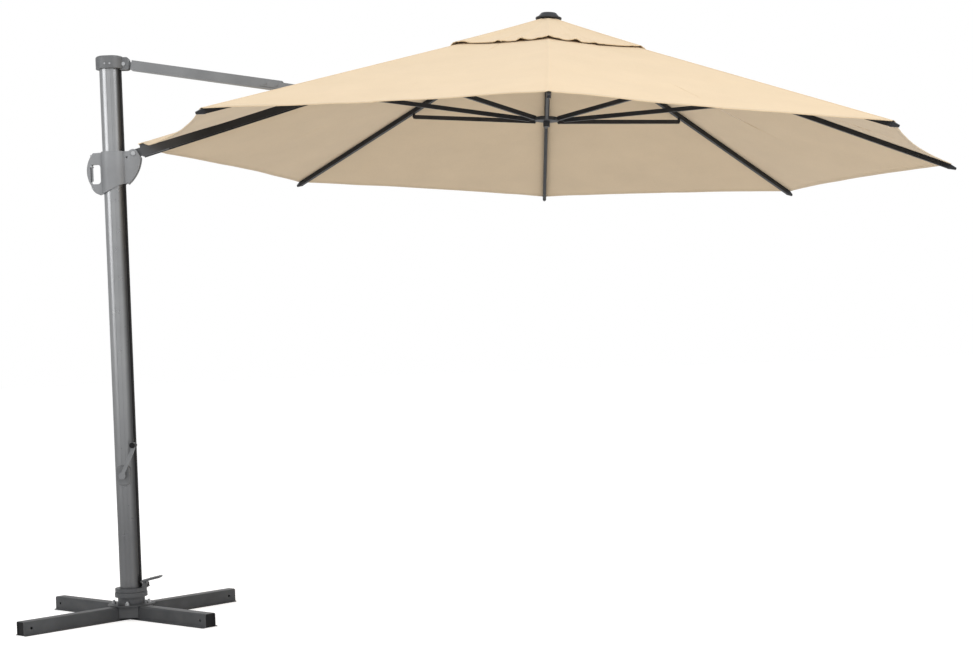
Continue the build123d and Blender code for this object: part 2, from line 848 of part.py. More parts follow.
def upper_hub():
    with BuildPart() as hub:
        with BuildSketch(canopy.offset(hub_bottom)):
            Circle(hub_radius)
        extrude(amount=hub_top - hub_bottom)
        with BuildSketch(canopy.offset(hub_bottom)):
            Circle(12)
        extrude(amount=24, mode=Mode.SUBTRACT)
        with BuildSketch(canopy.offset(hub_bottom)):
            with PolarLocations(0, 7, start_angle=-135, angular_range=270, endpoint=True):
                block(40, hub_radius + 2, -6.4, 6.4)
            with PolarLocations(0, 1, start_angle=180):
                block(40, hub_radius + 2, -7.8, 7.8)
        extrude(amount=hub_top - hub_bottom, mode=Mode.SUBTRACT)
        for index in range(8):
            frame = tilted(spoke(45 * index), hub_pivot_radius, hub_pivot_height, 0)
            with BuildSketch(frame):
                Circle(hub_pin_radius + running_gap)
            extrude(amount=15, both=True, mode=Mode.SUBTRACT)
        with BuildSketch(canopy.offset(hub_top)):
            Circle(9)
        extrude(amount=vent_cap_height - hub_top)
    save(hub, "upper_hub")


def hub_pins():
    with BuildPart() as pins:
        for index in range(8):
            frame = tilted(spoke(45 * index), hub_pivot_radius, hub_pivot_height, 0)
            with BuildSketch(frame):
                Circle(hub_pin_radius)
            extrude(amount=14, both=True)
    save(pins, "hub_pins")


def finial():
    with BuildPart() as cap:
        with BuildSketch(canopy.offset(vent_cap_height + 3)):
            Circle(56)
        extrude(amount=5)
        with BuildSketch(canopy.offset(vent_cap_height + 8)):
            Circle(50)
        with BuildSketch(canopy.offset(vent_cap_height + 27)):
            Circle(33)
        loft()
    save(cap, "finial")


def runner():
    """Lower hub: a disc with eight lugs, its guide tube above and a knob below."""
    with BuildPart() as piece:
        with BuildSketch(canopy.offset(runner_height - 8)):
            Circle(runner_radius)
        extrude(amount=16)
        fillet(piece.edges(), 3)
        with BuildSketch(canopy.offset(runner_height - 5)):
            with PolarLocations(0, 8):
                block(runner_radius - 6, runner_pivot_radius, -2.5, 2.5)
        extrude(amount=10)
        for index in range(8):
            frame = tilted(spoke(45 * index), runner_pivot_radius, runner_height, 0)
            with BuildSketch(frame):
                Circle(5)
            extrude(amount=2.5, both=True)
        with BuildSketch(canopy.offset(runner_height + 8)):
            Circle(11)
        extrude(amount=hub_bottom - runner_height + 8)
        with BuildSketch(canopy.offset(runner_height - 32)):
            Circle(14)
        extrude(amount=24)
    save(piece, "runner")


def half_panel(turn, side, start, inner, outer, peak, slope):
    """Flat part of one gore on one side of its ridge, from start to just short of the mid-line."""
    turned = tilted(canopy, 0, 0, turn)
    edge = radians(panel_turn)
    gap = 0.3
    corners = []
    for reach in (inner, outer):
        corners.append((reach - start * tan(edge), side * start, peak - slope * reach))
    for reach in (outer, inner):
        middle_x = reach * cos(edge) ** 2 + gap * sin(edge)
        middle_y = reach * cos(edge) * sin(edge) - gap * cos(edge)
        corners.append((middle_x, side * middle_y, peak - slope * reach))
    points = [turned.from_local_coords(corner) for corner in corners]
    across = points[1] - points[0]
    lie = Plane(origin=points[0], x_dir=across, z_dir=across.cross(points[2] - points[0]))
    flat = [lie.to_local_coords(point) for point in points]
    with BuildPart(mode=Mode.PRIVATE) as panel:
        with BuildSketch(lie):
            Polygon(*[(point.X, point.Y) for point in flat], align=None)
        extrude(amount=fabric_sheet, dir=turned.z_dir)
    return panel.part


def vent_panels(turn):
    for side in (-1, 1):
        add(half_panel(turn, side, 0, 34, vent_cap_radius, vent_cap_height, vent_cap_slope))


def gore(name, turn):
    """One gore of the canopy and of its vent cap, centred on a rib."""
    with BuildPart() as piece:
        for side in (-1, 1):
            add(half_panel(turn, side, 0, vent_hole_radius, canopy_radius, canopy_rise, rib_rise))
        vent_panels(turn)
    save(piece, name)


def arm_gore():
    """The gore over the arm: its ridge is a raised cover, slit where the strut goes through."""
    cover = arm_width / 2 + arm_cover_side
    along = []
    for reach in (canopy_radius, vent_hole_radius):
        height = canopy_rise - rib_rise * (reach + cover * tan(radians(panel_turn)))
        along.append(arm_plane.to_local_coords(arm_spoke.from_local_coords((reach, height))))
    top = arm_top + 2 + fabric_sheet
    with BuildPart() as piece:
        for side in (-1, 1):
            add(
                half_panel(
                    180, side, cover - 1, vent_hole_radius, canopy_radius, canopy_rise, rib_rise
                )
            )
        with BuildSketch(arm_plane):
            with BuildLine():
                Polyline(
                    (along[0].X, along[0].Y),
                    (along[0].X, top),
                    (along[1].X, top),
                    (along[1].X, along[1].Y),
                    close=True,
                )
            make_face()
        extrude(amount=cover, both=True)
        with BuildSketch(arm_plane):
            block(along[0].X - 20, along[1].X + 20, -60, top - fabric_sheet)
        extrude(amount=cover - fabric_sheet, both=True, mode=Mode.SUBTRACT)
        with BuildSketch(arm_plane):
            block(joint_reach - 115, joint_reach + 25, 0, top + 10)
        extrude(amount=cover - fabric_sheet - 0.5, both=True, mode=Mode.SUBTRACT)
        vent_panels(180)
    save(piece, "gore_arm")


rib_names = {
    0: "far",
    45: "far_back",
    90: "back",
    135: "near_back",
    225: "near_front",
    270: "front",
    315: "far_front",
}

os.makedirs("parts", exist_ok=True)
base_beams()
beam_ends()
base_plate()
base_gussets()
anchor_bolts()
swivel_post()
mast_foot()
mast_tube()
mast_strip()
top_cap()
cap_fixings()
strut_tube()
strut_eye()
strut_fork()
arm_channel()
arm_root()
arm_head()
arm_bracket()
arm_bush()
slider_shell("slider_shell_front", 1)
slider_shell("slider_shell_back", -1)
slider_bushes()
slider_fixings()
arm_pin()
release_lever()
crank_housing()
crank_shaft()
crank_arm()
crank_knob()
pedal_bracket()
foot_pedal()
for angle, place in rib_names.items():
    rib(f"rib_{place}", angle)
    gore(f"gore_{place}", angle)
    brace(f"brace_{place}", angle)
brace("brace_arm", 180)
arm_gore()
upper_hub()
hub_pins()
finial()
runner()
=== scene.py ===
import math

import bpy
import numpy as np
from mathutils import Matrix, Vector, noise


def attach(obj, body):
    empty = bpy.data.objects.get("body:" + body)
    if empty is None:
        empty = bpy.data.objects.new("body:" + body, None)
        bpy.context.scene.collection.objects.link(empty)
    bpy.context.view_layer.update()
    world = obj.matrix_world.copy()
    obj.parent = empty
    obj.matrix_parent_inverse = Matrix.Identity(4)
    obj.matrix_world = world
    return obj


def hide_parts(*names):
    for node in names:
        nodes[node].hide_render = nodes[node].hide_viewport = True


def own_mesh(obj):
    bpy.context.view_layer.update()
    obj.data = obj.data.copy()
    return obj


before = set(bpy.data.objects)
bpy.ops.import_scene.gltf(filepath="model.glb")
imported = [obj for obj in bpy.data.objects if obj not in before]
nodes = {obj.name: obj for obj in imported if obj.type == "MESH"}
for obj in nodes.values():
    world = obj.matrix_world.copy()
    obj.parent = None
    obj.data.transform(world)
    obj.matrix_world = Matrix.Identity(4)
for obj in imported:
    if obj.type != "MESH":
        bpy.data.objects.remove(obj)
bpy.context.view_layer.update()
print("frame loaded:", len(nodes), "nodes")

camera = {
    "place": (1.7962, -7.1949, 1.0579),
    "yaw": -0.08,
    "pitch": -1.405,
    "roll": -1.961,
    "lens": 61.58,
    "shift": (-0.0567, 0.0781),
}


def makeCamera():
    yaw, pitch, roll = (math.radians(camera[key]) for key in ("yaw", "pitch", "roll"))
    right = Vector((math.cos(yaw), math.sin(yaw), 0))
    ahead = Vector((-math.sin(yaw) * math.cos(pitch), math.cos(yaw) * math.cos(pitch), math.sin(pitch)))
    up = right.cross(ahead)
    rolledRight = right * math.cos(roll) + up * math.sin(roll)
    rolledUp = up * math.cos(roll) - right * math.sin(roll)
    data = bpy.data.cameras.new("camera")
    data.lens = camera["lens"]
    data.sensor_width = 36
    data.shift_x, data.shift_y = camera["shift"]
    data.clip_end = 200
    eye = bpy.data.objects.new("camera", data)
    turn = Matrix((rolledRight, rolledUp, -ahead)).transposed().to_4x4()
    eye.matrix_world = Matrix.Translation(camera["place"]) @ turn
    bpy.context.scene.collection.objects.link(eye)
    bpy.context.scene.camera = eye


makeCamera()
print("camera made")


def newMaterial(name):
    material = bpy.data.materials.new(name)
    material.use_nodes = True
    tree = material.node_tree
    shader = tree.nodes["Principled BSDF"]
    return material, tree, shader


def addNode(tree, kind, **values):
    node = tree.nodes.new(kind)
    for key, value in values.items():
        if key in node.inputs:
            node.inputs[key].default_value = value
        else:
            setattr(node, key, value)
    return node


def addNoise(tree, place, scale, detail=3.0, roughness=0.5):
    node = addNode(tree, "ShaderNodeTexNoise")
    node.inputs["Scale"].default_value = scale
    node.inputs["Detail"].default_value = detail
    node.inputs["Roughness"].default_value = roughness
    tree.links.new(place, node.inputs["Vector"])
    return node.outputs["Fac"]


def addRange(tree, value, low, high, newLow, newHigh):
    node = tree.nodes.new("ShaderNodeMapRange")
    for socket, number in zip(node.inputs[1:5], (low, high, newLow, newHigh)):
        socket.default_value = number
    tree.links.new(value, node.inputs[0])
    return node.outputs[0]


def addMix(tree, factor, first, second):
    node = addNode(tree, "ShaderNodeMix", data_type="RGBA")
    for socket, value in ((node.inputs[0], factor), (node.inputs[6], first), (node.inputs[7], second)):
        if isinstance(value, bpy.types.NodeSocket):
            tree.links.new(value, socket)
        else:
            socket.default_value = value if isinstance(value, (int, float)) else (*value, 1)
    return node.outputs[2]


def addBump(tree, shader, height, strength, distance, under=None):
    node = tree.nodes.new("ShaderNodeBump")
    node.inputs["Strength"].default_value = strength
    node.inputs["Distance"].default_value = distance
    tree.links.new(height, node.inputs["Height"])
    if under:
        tree.links.new(under, node.inputs["Normal"])
    tree.links.new(node.outputs["Normal"], shader.inputs["Normal"])
    return node.outputs["Normal"]


def objectPlace(tree):
    return addNode(tree, "ShaderNodeTexCoord").outputs["Object"]


finishes = {
    "basePaint": {
        "dark": (0.06, 0.062, 0.066),
        "light": (0.085, 0.088, 0.092),
        "metallic": 0.35,
        "rough": (0.42, 0.55),
        "grain": 900,
        "dents": 0.00012,
        "specular": 0.35,
    },
    "footPaint": {
        "dark": (0.085, 0.088, 0.093),
        "light": (0.115, 0.118, 0.124),
        "metallic": 0.4,
        "rough": (0.38, 0.5),
        "grain": 800,
        "dents": 0.0001,
    },
    "mastPaint": {
        "dark": (0.37, 0.376, 0.384),
        "light": (0.41, 0.417, 0.425),
        "metallic": 0.9,
        "rough": (0.26, 0.34),
        "grain": 1200,
        "dents": 0.000006,
        # painted shade: the mast turns darker towards the bottom, from z 1.15 down to 0.35; shadeSide
        # paints shade on its +X side
        "paintedLightTone": (0.165, 0.168, 0.173),
        "paintedLightAxis": 2,
        "paintedLightReach": (0.35, 1.15),
        "shadeSide": (0.25, 0.75),
        "shadeTone": (0.075, 0.076, 0.078),
    },
    "strutPaint": {
        "dark": (0.225, 0.232, 0.24),
        "light": (0.265, 0.272, 0.28),
        "metallic": 0.6,
        "rough": (0.32, 0.42),
        "grain": 1200,
        "dents": 0.00004,
    },
    "crankPaint": {
        "dark": (0.2, 0.205, 0.212),
        "light": (0.24, 0.246, 0.254),
        "metallic": 0.6,
        "rough": (0.32, 0.42),
        "grain": 1100,
        "dents": 0.00005,
    },
    "armPaint": {
        "dark": (0.022, 0.023, 0.025),
        "light": (0.034, 0.035, 0.038),
        "metallic": 0.35,
        "rough": (0.34, 0.44),
        "grain": 1100,
        "dents": 0.00006,
        "specular": 0.3,
        # painted light: the arm is lighter near the slider, below x 0.12, and turns to its dark paint by
        # x 0.42
        "paintedLightTone": (0.11, 0.113, 0.118),
        "paintedLightAxis": 0,
        "paintedLightReach": (0.12, 0.42),
    },
    "ribPaint": {
        "dark": (0.018, 0.019, 0.022),
        "light": (0.028, 0.03, 0.034),
        "metallic": 0.25,
        "rough": (0.36, 0.48),
        "grain": 1100,
        "dents": 0.00006,
        "specular": 0.25,
    },
    "zincSteel": {
        "dark": (0.42, 0.43, 0.44),
        "light": (0.6, 0.61, 0.62),
        "metallic": 1.0,
        "rough": (0.25, 0.42),
        "grain": 700,
        "dents": 0.00003,
    },
    "sliderNylon": {
        "dark": (0.235, 0.24, 0.248),
        "light": (0.275, 0.281, 0.29),
        "metallic": 0.15,
        "rough": (0.4, 0.5),
        "grain": 1500,
        "dents": 0.00007,
    },
    "capNylon": {
        "dark": (0.13, 0.134, 0.14),
        "light": (0.165, 0.17, 0.176),
        "metallic": 0.15,
        "rough": (0.4, 0.5),
        "grain": 1500,
        "dents": 0.00007,
    },
    "hubNylon": {
        "dark": (0.03, 0.032, 0.036),
        "light": (0.046, 0.049, 0.054),
        "metallic": 0.0,
        "rough": (0.42, 0.55),
        "grain": 1500,
        "dents": 0.00008,
        "specular": 0.25,
    },
    "blackPlastic": {
        "dark": (0.006, 0.006, 0.007),
        "light": (0.012, 0.012, 0.013),
        "metallic": 0.0,
        "rough": (0.45, 0.6),
        "grain": 1500,
        "dents": 0.00008,
        "specular": 0.15,
    },
}


def hardFinish(name):
    spec = finishes[name]
    material, tree, shader = newMaterial(name)
    place = objectPlace(tree)
    cloud = addNoise(tree, place, 9.0, 4.0)
    tone = addMix(tree, addRange(tree, cloud, 0.3, 0.7, 0.0, 1.0), spec["dark"], spec["light"])
    # painted light and shade: a tone ramp along one object axis stands in for how light falls on the part
    if "paintedLightTone" in spec:
        axes = addNode(tree, "ShaderNodeSeparateXYZ")
        tree.links.new(place, axes.inputs[0])
        share = addRange(tree, axes.outputs[spec["paintedLightAxis"]], *spec["paintedLightReach"], 0.0, 1.0)
        tone = addMix(tree, share, spec["paintedLightTone"], tone)
    if "shadeSide" in spec:
        facing = addNode(tree, "ShaderNodeSeparateXYZ")
        tree.links.new(addNode(tree, "ShaderNodeTexCoord").outputs["Normal"], facing.inputs[0])
        share = addRange(tree, facing.outputs[0], *spec["shadeSide"], 0.0, 1.0)
        tone = addMix(tree, share, tone, spec["shadeTone"])
    tree.links.new(tone, shader.inputs["Base Color"])
    shader.inputs["Metallic"].default_value = spec["metallic"]
    shader.inputs["Specular IOR Level"].default_value = spec.get("specular", 0.4)
    smudge = addNoise(tree, place, 23.0, 5.0, 0.6)
    tree.links.new(addRange(tree, smudge, 0.25, 0.75, *spec["rough"]), shader.inputs["Roughness"])
    grain = addNoise(tree, place, spec["grain"], 2.0)
    addBump(tree, shader, grain, 0.5, spec["dents"])
    return material


materials = {name: hardFinish(name) for name in finishes}

cloth = {
    "outerDark": (0.735, 0.572, 0.372),
    "outerLight": (0.79, 0.618, 0.408),
    # painted shade: the inner side is a darker copy of the outer cloth tones, the same cloth in shade
    "shadedInnerDark": (0.60, 0.475, 0.325),
    "shadedInnerLight": (0.66, 0.525, 0.360),
    "yarn": 0.0011,
    "yarnHeight": 0.00012,
    "sheen": 0.15,
    "rough": (0.78, 0.92),
    "thread": (0.62, 0.49, 0.33),
    "stitchLength": 0.0042,
    "stitchWidth": 0.0011,
}


def clothFinish(name, dark, light, stitched):
    material, tree, shader = newMaterial(name)
    place = objectPlace(tree)
    flat = addNode(tree, "ShaderNodeUVMap", uv_map="flatCut").outputs["UV"]
    axes = addNode(tree, "ShaderNodeSeparateXYZ")
    tree.links.new(flat, axes.inputs[0])
    threads = []
    for axis in (0, 1):
        turns = addNode(tree, "ShaderNodeMath", operation="MULTIPLY")
        turns.inputs[1].default_value = math.pi / cloth["yarn"]
        tree.links.new(axes.outputs[axis], turns.inputs[0])
        wave = addNode(tree, "ShaderNodeMath", operation="SINE")
        tree.links.new(turns.outputs[0], wave.inputs[0])
        threads.append(wave.outputs[0])
    weave = addNode(tree, "ShaderNodeMath", operation="MULTIPLY")
    tree.links.new(threads[0], weave.inputs[0])
    tree.links.new(threads[1], weave.inputs[1])
    weaveHeight = addRange(tree, weave.outputs[0], -1, 1, 0, 1)
    cloud = addRange(tree, addNoise(tree, place, 5.0, 5.0, 0.6), 0.3, 0.7, 0.0, 1.0)
    slub = addRange(tree, addNoise(tree, place, 160.0, 2.0), 0.35, 0.65, 0.0, 1.0)
    tone = addMix(tree, addMix(tree, 0.35, cloud, slub), dark, light)
    height = weaveHeight
    if stitched:
        edge = addNode(tree, "ShaderNodeUVMap", uv_map="stitchRun").outputs["UV"]
        run = addNode(tree, "ShaderNodeSeparateXYZ")
        tree.links.new(edge, run.inputs[0])
        across = addNode(tree, "ShaderNodeMath", operation="ABSOLUTE")
        tree.links.new(run.outputs[0], across.inputs[0])
        width = cloth["stitchWidth"]
        nearLine = addRange(tree, across.outputs[0], width, width * 0.5, 0, 1)
        step = addNode(tree, "ShaderNodeMath", operation="PINGPONG")
        length = cloth["stitchLength"]
        step.inputs[1].default_value = length / 2
        tree.links.new(run.outputs[1], step.inputs[0])
        dash = addRange(tree, step.outputs[0], length * 0.06, length * 0.14, 0, 1)
        stitch = addNode(tree, "ShaderNodeMath", operation="MULTIPLY")
        tree.links.new(nearLine, stitch.inputs[0])
        tree.links.new(dash, stitch.inputs[1])
        tone = addMix(tree, stitch.outputs[0], tone, cloth["thread"])
        height = addMix(tree, stitch.outputs[0], weaveHeight, (3.0, 3.0, 3.0))
    tree.links.new(tone, shader.inputs["Base Color"])
    tree.links.new(addRange(tree, slub, 0, 1, *cloth["rough"]), shader.inputs["Roughness"])
    shader.inputs["Sheen Weight"].default_value = cloth["sheen"]
    shader.inputs["Sheen Roughness"].default_value = 0.5
    shader.inputs["Specular IOR Level"].default_value = 0.25
    creases = addNoise(tree, place, 14.0, 4.0, 0.55)
    soft = addBump(tree, shader, creases, 0.35, 0.0012)
    addBump(tree, shader, height, 0.6, cloth["yarnHeight"], soft)
    return material


clothMaterials = [
    clothFinish("clothOuter", cloth["outerDark"], cloth["outerLight"], False),
    # painted shade: the two inner materials are darker copies of the outer ones
    clothFinish("clothInnerShaded", cloth["shadedInnerDark"], cloth["shadedInnerLight"], False),
    clothFinish("clothHem", [0.93 * c for c in cloth["outerDark"]], cloth["outerDark"], True),
    clothFinish("clothHemInnerShaded", [0.93 * c for c in cloth["shadedInnerDark"]], cloth["shadedInnerDark"], True),
]
print("materials made:", len(bpy.data.materials))

canopy = {
    "centre": (1.861, 0, 1.929),
    "droop": 3.0,
    "radius": 1.750,
    "rise": 0.578,
    "holeRadius": 0.430,
    "scallop": 0.046,
    "sag": 0.020,
    "halfSheet": 0.0006,
    "hemWidth": 0.022,
    "panelHalf": 0.62,
    "ridgeRun": 1.32,
    "hemProud": 0.0009,
    "ridgeHalf": 0.009,
    "ridgeLift": 0.0006,
    "foldedShare": 0.02,
    "wrinkle": 0.0024,
    "lap": 0.0012,
}
vent = {
    "radius": 0.535,
    "top": 0.5885,
    "innerRadius": 0.034,
    "cornerLift": 0.008,
    "restLift": 0.0025,
    "sag": 0.006,
    "flutter": 0.022,
    "hemWidth": 0.018,
    "panelHalf": 0.2,
    "ridgeRun": 0.526,
    "seamRun": 0.5,
}
armCover = {
    "pivot": (0.089, 0, 2.001),
    "angle": 14.9,
    "top": 0.0296,
    "clear": 0.0028,
    "flatHalf": 0.030,
    "stripHalf": 0.034,
    "blendOut": 0.150,
    "slit": (0.755, 0.905),
}
eighth = math.radians(22.5)
steep = canopy["rise"] / canopy["radius"]
droopTurn = Matrix.Rotation(math.radians(canopy["droop"]), 3, "Y")
armTilt = math.radians(armCover["angle"])
armAlong = Vector((math.cos(armTilt), 0, math.sin(armTilt)))
armUp = Vector((-armAlong.z, 0, armAlong.x))


def toWorld(turn, x, y, z):
    spun = Matrix.Rotation(math.radians(turn), 3, "Z") @ Vector((x, y, z))
    return Vector(canopy["centre"]) + droopTurn @ spun


def armAbove(x, z):
    # how far a point of the arm's own spoke is above the arm's top face
    return (toWorld(180, x, 0, z) - Vector(armCover["pivot"])).dot(armUp) - armCover["top"]


def armReach(x, z):
    return (toWorld(180, x, 0, z) - Vector(armCover["pivot"])).dot(armAlong)


def smooth(value):
    value = min(1.0, max(0.0, value))
    return value * value * (3 - 2 * value)


def bend(place, strength):
    # small uneven ripples that run on from one gore to the next
    return strength * noise.noise(place * 4.2) + 0.35 * strength * noise.noise(place * 13.0)


def panelHeight(turn, x, y):
    octRadius = x + abs(y) * math.tan(eighth)
    halfEdge = max(1e-6, octRadius * math.sin(eighth) * math.cos(eighth))
    share = min(1.0, abs(y) / halfEdge)
    outward = octRadius / canopy["radius"]
    height = canopy["rise"] - steep * octRadius
    height -= canopy["sag"] * math.sin(share * math.pi / 2) * outward * (1.15 - 0.4 * outward ** 4)
    if turn == 180:
        ridge = canopy["rise"] - steep * x
        need = armCover["clear"] - armAbove(x, ridge)
        ease = 1 - smooth((abs(y) - armCover["flatHalf"]) / (armCover["blendOut"] - armCover["flatHalf"]))
        height += ease * max(0.0, need + steep * math.tan(eighth) * min(abs(y), armCover["flatHalf"]))
    world = toWorld(turn, x, y, height)
    return height + bend(world, canopy["wrinkle"]) * min(1.0, share * 6) * smooth(outward * 3)


def ventHeight(turn, x, y):
    octRadius = x + abs(y) * math.tan(eighth)
    halfEdge = max(1e-6, octRadius * math.sin(eighth) * math.cos(eighth))
    share = min(1.0, abs(y) / halfEdge)
    outward = (octRadius - vent["innerRadius"]) / (vent["radius"] - vent["innerRadius"])
    rim = canopy["rise"] - steep * vent["radius"]
    if turn == 180:
        flatReach = math.cos(eighth) ** 2 + math.sin(eighth) ** 2 * (1 - share)
        raised = panelHeight(180, vent["radius"] * flatReach, y)
        rim = max(rim, min(raised, rim + 0.02))
    height = vent["top"] + (rim - vent["top"]) * outward
    azimuth = math.radians(turn) + math.atan2(y, x)
    flutter = noise.noise(Vector((math.cos(azimuth) * 6.5, math.sin(azimuth) * 6.5, 2.0)))
    flutter += 0.6 * noise.noise(Vector((math.cos(azimuth) * 15.0, math.sin(azimuth) * 15.0, 7.0)))
    lift = vent["restLift"] + vent["cornerLift"] * (1 - share) ** 3
    lift += vent["flutter"] * max(0.0, flutter - 0.04) * (0.5 + 0.5 * share)
    return height + lift * outward ** 1.5 - vent["sag"] * math.sin(math.pi * outward) * share


def spaced(low, high, count, ease=1.0):
    return [low + (high - low) * (step / count) ** ease for step in range(count + 1)]


def clothPiece(name, turn, rows, columns, place, hemAt, skip=None):
    # rows run from the crown to the rim, columns across. place gives x, y, z in the canopy's spoke.
    grid = np.array([[toWorld(turn, *place(row, column)) for column in columns] for row in rows])
    along = np.gradient(grid, axis=0)
    across = np.gradient(grid, axis=1)
    normal = np.cross(along, across)
    normal /= np.linalg.norm(normal, axis=2)[:, :, None]
    flip = 1 if normal[len(rows) // 2, len(columns) // 2][2] > 0 else -1
    normal *= flip
    folded = np.array([[hemAt(row, column)[0] for column in columns] for row in rows])
    proud = canopy["halfSheet"] + canopy["hemProud"] * folded
    upper = grid + normal * proud[:, :, None]
    lower = grid - normal * proud[:, :, None]
    rowCount, columnCount = len(rows), len(columns)
    points = np.concatenate([upper.reshape(-1, 3), lower.reshape(-1, 3)])
    half = rowCount * columnCount
    faces, slots = [], []

    def isKept(i, j):
        inside = 0 <= i < rowCount - 1 and 0 <= j < columnCount - 1
        return inside and not (skip and skip(rows[i], rows[i + 1], columns[j], columns[j + 1]))

    for i in range(rowCount - 1):
        for j in range(columnCount - 1):
            if not isKept(i, j):
                continue
            first, second = i * columnCount + j, (i + 1) * columnCount + j
            corner = [first, second, second + 1, first + 1]
            middleHem = hemAt((rows[i] + rows[i + 1]) / 2, (columns[j] + columns[j + 1]) / 2)[1]
            top = corner if flip > 0 else corner[::-1]
            faces.append(top)
            slots.append(2 if middleHem else 0)
            # the inner face takes the darker inner material, a painted shade
            faces.append([half + k for k in top[::-1]])
            slots.append(3 if middleHem else 1)
            sides = ((i, j - 1, 0, 1), (i + 1, j, 1, 2), (i, j + 1, 2, 3), (i - 1, j, 3, 0))
            for nextRow, nextColumn, start, end in sides:
                if not isKept(nextRow, nextColumn):
                    a, b = corner[start], corner[end]
                    side = [a, b, half + b, half + a]
                    faces.append(side[::-1] if flip > 0 else side)
                    slots.append(2)
    used = sorted({k for face in faces for k in face})
    fresh = {old: new for new, old in enumerate(used)}
    mesh = bpy.data.meshes.new(name)
    mesh.from_pydata([tuple(points[k]) for k in used], [], [[fresh[k] for k in face] for face in faces])
    for material in clothMaterials:
        mesh.materials.append(material)
    mesh.polygons.foreach_set("material_index", slots)
    mesh.polygons.foreach_set("use_smooth", [True] * len(faces))
    flatLayer = mesh.uv_layers.new(name="flatCut")
    stitchLayer = mesh.uv_layers.new(name="stitchRun")
    for loop in mesh.loops:
        k = used[loop.vertex_index] % half
        row, column = rows[k // columnCount], columns[k % columnCount]
        x, y = place(row, column)[:2]
        flatLayer.data[loop.index].uv = (y, x * math.sqrt(1 + steep * steep))
        stitchLayer.data[loop.index].uv = hemAt(row, column)[2]
    mesh.validate()
    mesh.set_sharp_from_angle(angle=math.radians(50))
    mesh.update()
    piece = bpy.data.objects.new(name, mesh)
    bpy.context.scene.collection.objects.link(piece)
    return piece


def rimRadius(share):
    return canopy["radius"] - canopy["scallop"] * (1 - (1 - share) ** 2) / math.cos(eighth)


def mainPlace(turn, side, start):
    # column 0 is beside the ridge and 1 is the middle of the panel, shared with the next gore
    def place(row, column):
        rim = rimRadius(column)
        octRadius = canopy["holeRadius"] + (rim - canopy["holeRadius"]) * row
        edge = octRadius * math.sin(eighth) * math.cos(eighth) + canopy["lap"]
        y = start + (edge - start) * column
        x = octRadius - y * math.tan(eighth)
        return x, side * y, panelHeight(turn, x, y)

    return place


def hemFold(toRim, width, run):
    # how far the hem stands proud, whether the point is in it, and its place along the stitching
    proud = 1.0 if toRim < width - 0.001 else 0.0
    return proud, toRim < width, (toRim - width + 0.003, run)


def mainHem(row, column):
    length = canopy["radius"] - canopy["holeRadius"]
    toRim = (1 - row) * length
    return hemFold(toRim, canopy["hemWidth"], column * canopy["panelHalf"])


def ventPlace(turn, side, start):
    def place(row, column):
        octRadius = vent["innerRadius"] + (vent["radius"] - vent["innerRadius"]) * row
        edge = octRadius * math.sin(eighth) * math.cos(eighth)
        y = min(start, edge) + (edge - min(start, edge)) * column
        x = octRadius - y * math.tan(eighth)
        return x, side * y, ventHeight(turn, x, y)

    return place


def ventHem(row, column):
    toRim = (1 - row) * (vent["radius"] - vent["innerRadius"])
    return hemFold(toRim, vent["hemWidth"], column * vent["panelHalf"])


def stripPlace(turn, half, inner, outer, heightOf, lift):
    def place(row, column):
        x = inner + (outer - inner) * row
        y = half * column
        return x, y, heightOf(turn, x, y) + lift

    return place


def stripHem(row, column):
    return 0.0, False, (1.0, row)


hemShare = canopy["hemWidth"] / (canopy["radius"] - canopy["holeRadius"])
hemRows = [1 - hemShare * share for share in (1.1, 0.95, 0.5, 0.05, 0)]
mainRows = spaced(0, hemRows[0] - 0.012, 30) + hemRows
mainColumns = [0, 0.006, 0.02] + spaced(0.045, 1, 17)
ventRows = spaced(0, 0.95, 12) + [0.966, 0.972, 0.985, 1.0]
ventColumns = spaced(0, 1, 26)
gores = {
    "far": 0,
    "far_back": 45,
    "back": 90,
    "near_back": 135,
    "arm": 180,
    "near_front": 225,
    "front": 270,
    "far_front": 315,
}


def declare(piece, body, side):
    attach(piece, body)
    if side:
        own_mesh(piece)


def makeGore(name, turn):
    body = "arm" if name == "arm" else "rib_" + name
    ridge = canopy["ridgeHalf"]
    start = armCover["stripHalf"] if name == "arm" else ridge
    made = []
    for side, word in ((-1, "right"), (1, "left")):
        place = mainPlace(turn, side, start)
        panel = clothPiece(f"panel_{name}_{word}", turn, mainRows, mainColumns, place, mainHem)
        declare(panel, body, side)
        place = ventPlace(turn, side, ridge)
        cap = clothPiece(f"vent_{name}_{word}", turn, ventRows, ventColumns, place, ventHem)
        declare(cap, body, side)
        made += [panel, cap]
    if name == "arm":
        strip = armStrip()
        declare(strip, body, 0)
    else:
        columns = [-1, -0.9, -0.6, -0.3, 0, 0.3, 0.6, 0.9, 1]
        ends = canopy["holeRadius"], canopy["radius"] - 0.004
        place = stripPlace(turn, ridge, *ends, panelHeight, canopy["ridgeLift"])
        strip = clothPiece(f"seam_{name}", turn, spaced(0, 1, 40), columns, place, stripHem)
        declare(strip, body, 0)
    columns = [-1, -0.5, 0, 0.5, 1]
    ends = vent["innerRadius"] + 0.01, vent["radius"] - 0.002
    place = stripPlace(turn, ridge, *ends, ventHeight, canopy["ridgeLift"])
    capStrip = clothPiece(f"vent_seam_{name}", turn, spaced(0, 1, 20), columns, place, stripHem)
    declare(capStrip, body, 0)
    for piece in (*made, strip, capStrip):
        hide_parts("gore_" + name)


